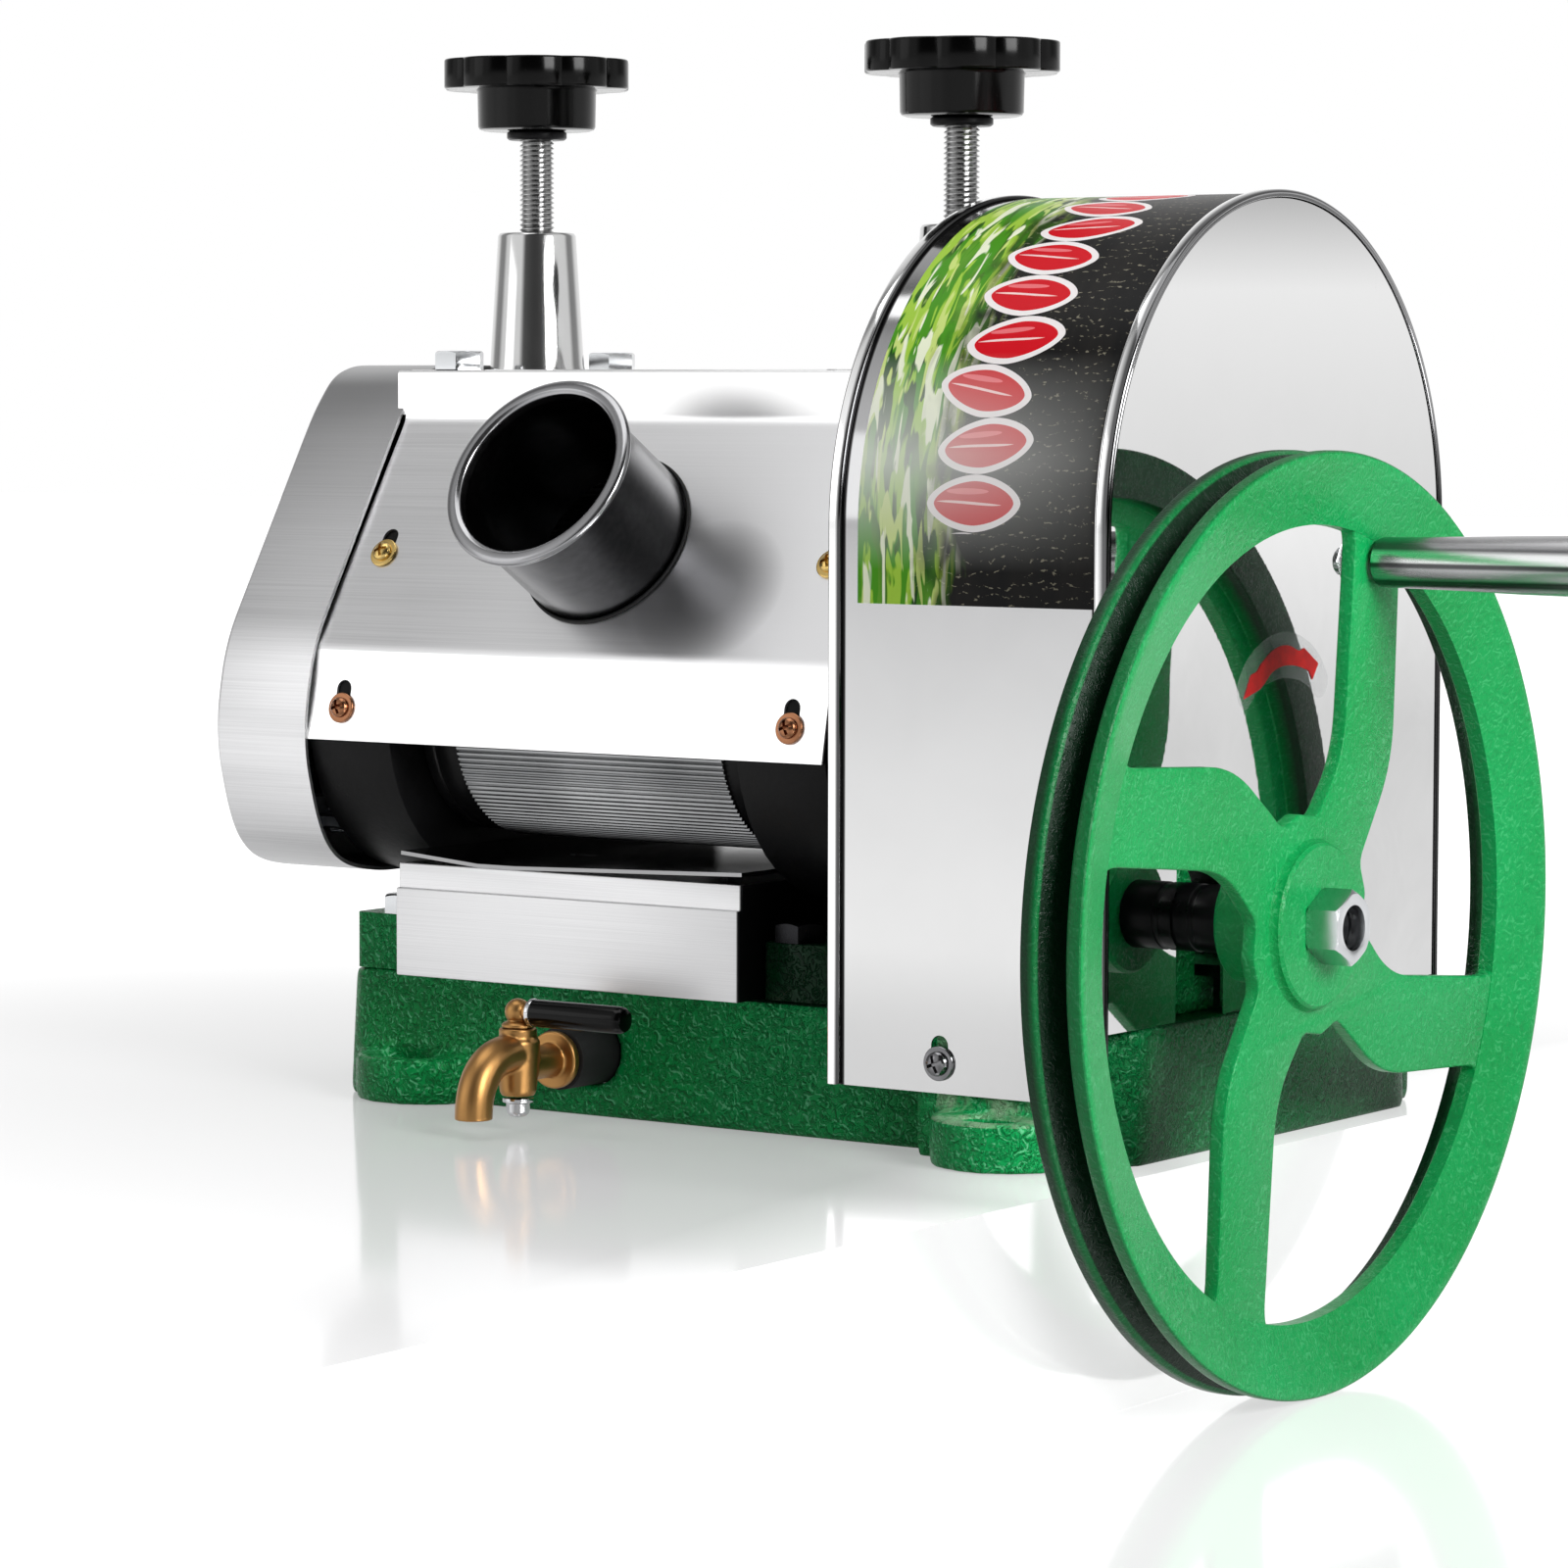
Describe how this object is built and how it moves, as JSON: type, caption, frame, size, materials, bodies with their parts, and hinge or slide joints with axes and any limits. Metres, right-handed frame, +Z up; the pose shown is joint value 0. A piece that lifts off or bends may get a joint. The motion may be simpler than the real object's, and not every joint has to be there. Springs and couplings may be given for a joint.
{
  "type": "manual sugarcane juicer",
  "caption": "Bench-mounted sugarcane press: fluted rollers geared to a spoked handwheel, with feed tube, gear guard, press screws, juice tray and tap.",
  "frame": {"origin": "Middle of the base's underside, where it sits on the bench", "axes": "+X along the rollers towards the handwheel, +Y to the back where pressed cane comes out, +Z up"},
  "size_m": [0.5844, 0.384, 0.495],
  "materials": {
    "green_enamel": "glossy green enamel over a rough casting",
    "black_paint": "black paint, satin",
    "stainless": "polished stainless sheet",
    "brushed_steel": "brushed stainless sheet",
    "dark_steel": "machined steel",
    "zinc_steel": "bright zinc-plated steel",
    "bronze": "machined bronze",
    "brass": "polished brass",
    "screw_brass": "yellow plated screws",
    "black_plastic": "glossy black moulded plastic",
    "black_rubber": "matt black rubber"
  },
  "bodies": {
    "frame": {"base_casting": "green_enamel", "foot_rail_left": "green_enamel", "foot_rail_right": "green_enamel", "pillow_block_inner": "green_enamel", "pillow_block_outer": "green_enamel", "upright_left": "black_paint", "upright_right": "black_paint", "cap_left": "stainless", "cap_right": "stainless", "guard_wrap": "stainless", "guard_end_plate": "stainless", "guard_inner_plate": "stainless", "juice_tray": "stainless", "juice_chute": "stainless", "feed_cover": "brushed_steel", "rear_cover": "brushed_steel", "casing_left": "brushed_steel", "feed_tube": "dark_steel", "rail_bolt_left_front": "zinc_steel", "rail_bolt_left_rear": "zinc_steel", "rail_bolt_right_front": "zinc_steel", "rail_bolt_right_rear": "zinc_steel", "cap_bolt_left_front": "zinc_steel", "cap_bolt_left_rear": "zinc_steel", "cap_bolt_right_front": "zinc_steel", "cap_bolt_right_rear": "zinc_steel", "guard_screw": "zinc_steel", "bush_left_front": "bronze", "bush_left_rear": "bronze", "bush_right_front": "bronze", "bush_right_rear": "bronze", "tap_body": "brass", "cover_screw_left_upper": "screw_brass", "cover_screw_left_lower": "screw_brass", "cover_screw_right_upper": "screw_brass", "cover_screw_right_lower": "screw_brass", "tube_seal": "black_rubber", "drain_elbow": "black_rubber"},
    "carriage": {"bearing_block_left": "dark_steel", "bearing_block_right": "dark_steel"},
    "left_screw": {"press_screw_left": "zinc_steel", "knob_left": "black_plastic"},
    "right_screw": {"press_screw_right": "zinc_steel", "knob_right": "black_plastic"},
    "top_roller": {"roller_top": "brushed_steel", "roller_gear_top": "dark_steel", "drive_gear": "dark_steel"},
    "front_roller": {"roller_front": "brushed_steel", "roller_gear_front": "dark_steel"},
    "rear_roller": {"roller_rear": "brushed_steel", "roller_gear_rear": "dark_steel"},
    "wheel": {"handwheel": "green_enamel", "wheel_nut": "zinc_steel", "drive_shaft": "black_paint", "pinion": "dark_steel", "handle_pin": "zinc_steel"},
    "grip": {"handle_grip": "stainless"},
    "tap": {"tap_plug": "brass", "tap_lever_grip": "black_plastic", "tap_retaining_screw": "zinc_steel"}
  },
  "joints": [
    {"name": "top_roller_lift", "type": "slide", "parent": "frame", "child": "carriage", "axis": [0, 0, 1], "range_m": [0, 0.003]},
    {"name": "left_knob_turn", "type": "hinge", "parent": "carriage", "child": "left_screw", "pos_m": [-0.167, 0, 0.2623], "axis": [0, 0, 1], "range_deg": [0, 540]},
    {"name": "right_knob_turn", "type": "hinge", "parent": "carriage", "child": "right_screw", "pos_m": [0.04, 0, 0.2623], "axis": [0, 0, 1], "range_deg": [0, 540]},
    {"name": "top_roller_spin", "type": "hinge", "parent": "carriage", "child": "top_roller", "pos_m": [-0.0635, 0, 0.228], "axis": [1, 0, 0], "continuous": true},
    {"name": "front_roller_spin", "type": "hinge", "parent": "frame", "child": "front_roller", "pos_m": [-0.0635, -0.057, 0.15013], "axis": [1, 0, 0], "continuous": true},
    {"name": "rear_roller_spin", "type": "hinge", "parent": "frame", "child": "rear_roller", "pos_m": [-0.0635, 0.057, 0.15013], "axis": [1, 0, 0], "continuous": true},
    {"name": "wheel_spin", "type": "hinge", "parent": "frame", "child": "wheel", "pos_m": [0.2, -0.06601, 0.088], "axis": [1, 0, 0], "continuous": true},
    {"name": "grip_spin", "type": "hinge", "parent": "wheel", "child": "grip", "pos_m": [0.29, -0.02001, 0.217], "axis": [1, 0, 0], "continuous": true},
    {"name": "tap_turn", "type": "hinge", "parent": "frame", "child": "tap", "pos_m": [-0.0576, -0.154, 0.04], "axis": [0, 0, 1], "range_deg": [-90, 0]}
  ],
  "couplings": [
    {"joint": "left_knob_turn", "follows": "top_roller_lift", "rad_per_m": 3141.6},
    {"joint": "right_knob_turn", "follows": "top_roller_lift", "rad_per_m": 3141.6},
    {"joint": "top_roller_spin", "follows": "wheel_spin", "ratio": -0.375},
    {"joint": "front_roller_spin", "follows": "wheel_spin", "ratio": 0.375},
    {"joint": "rear_roller_spin", "follows": "wheel_spin", "ratio": 0.375}
  ]
}
